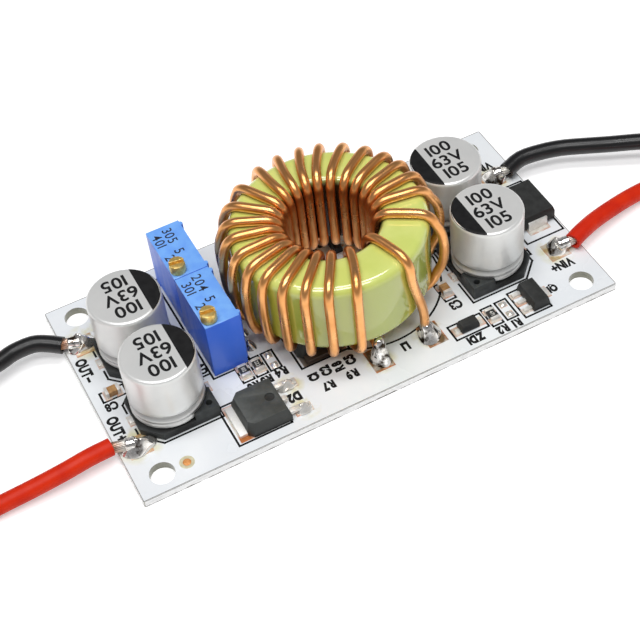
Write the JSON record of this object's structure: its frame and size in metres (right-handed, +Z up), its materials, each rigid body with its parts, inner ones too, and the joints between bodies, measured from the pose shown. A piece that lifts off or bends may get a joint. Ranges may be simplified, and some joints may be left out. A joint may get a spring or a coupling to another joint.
{
  "type": "boost converter module",
  "caption": "Bare DC step-up converter board with a large toroid inductor, upright can capacitors, blue trimmers and soldered leads.",
  "frame": {"origin": "centre of the board's underside", "axes": "+X along the board from the output end to the input end, +Y to the back long edge, +Z up from the board through the coil's axis"},
  "size_m": [0.1718, 0.036, 0.0178],
  "materials": {
    "board_white": "gloss",
    "tinned_copper": "satin",
    "core_lime": "gloss",
    "enamelled_copper": "gloss",
    "cap_base_black": "satin",
    "can_aluminium": "satin",
    "trimmer_blue": "satin",
    "screw_brass": "satin",
    "mould_black": "matte",
    "resistor_black": "satin",
    "ceramic_brown": "satin",
    "solder": "gloss",
    "strand_copper": "satin",
    "lead_red": "satin",
    "lead_black": "satin",
    "tie_white": "matte"
  },
  "bodies": {
    "module": {"board": "board_white", "copper_lands": "tinned_copper", "toroid_core": "core_lime", "toroid_winding": "enamelled_copper", "output_cap_base_far": "cap_base_black", "output_cap_base_near": "cap_base_black", "input_cap_base_near": "cap_base_black", "input_cap_base_far": "cap_base_black", "output_cap_can_far": "can_aluminium", "output_cap_can_near": "can_aluminium", "input_cap_can_near": "can_aluminium", "input_cap_can_far": "can_aluminium", "capacitor_terminals": "tinned_copper", "trimmer_housing_near": "trimmer_blue", "trimmer_housing_far": "trimmer_blue", "trimmer_pins": "tinned_copper", "output_diode_body": "mould_black", "output_diode_frame": "tinned_copper", "switch_body": "mould_black", "switch_frame": "tinned_copper", "input_diode_body": "mould_black", "input_diode_straps": "tinned_copper", "regulator_body": "mould_black", "regulator_leads": "tinned_copper", "zener_body": "mould_black", "zener_leads": "tinned_copper", "controller_body": "mould_black", "controller_leads": "tinned_copper", "amplifier_body": "mould_black", "amplifier_leads": "tinned_copper", "driver_body": "mould_black", "driver_leads": "tinned_copper", "sense_resistor_body": "resistor_black", "sense_resistor_ends": "tinned_copper", "resistor_bodies": "resistor_black", "resistor_ends": "tinned_copper", "ceramic_bodies": "ceramic_brown", "ceramic_ends": "tinned_copper", "solder_joints": "solder", "lead_strands": "strand_copper", "output_plus_lead": "lead_red", "output_minus_lead": "lead_black", "input_plus_lead": "lead_red", "input_minus_lead": "lead_black", "output_plus_coil": "lead_red", "output_minus_coil": "lead_black", "input_plus_coil": "lead_red", "input_minus_coil": "lead_black", "coil_ties": "tie_white"},
    "near_screw": {"trimmer_screw_near": "screw_brass"},
    "far_screw": {"trimmer_screw_far": "screw_brass"}
  },
  "joints": [
    {"name": "near_screw_turn", "type": "hinge", "parent": "module", "child": "near_screw", "pos_m": [-0.01785, -0.0032, 0.0109], "axis": [0, 0, 1], "continuous": true},
    {"name": "far_screw_turn", "type": "hinge", "parent": "module", "child": "far_screw", "pos_m": [-0.01785, 0.0068, 0.0109], "axis": [0, 0, 1], "continuous": true}
  ]
}
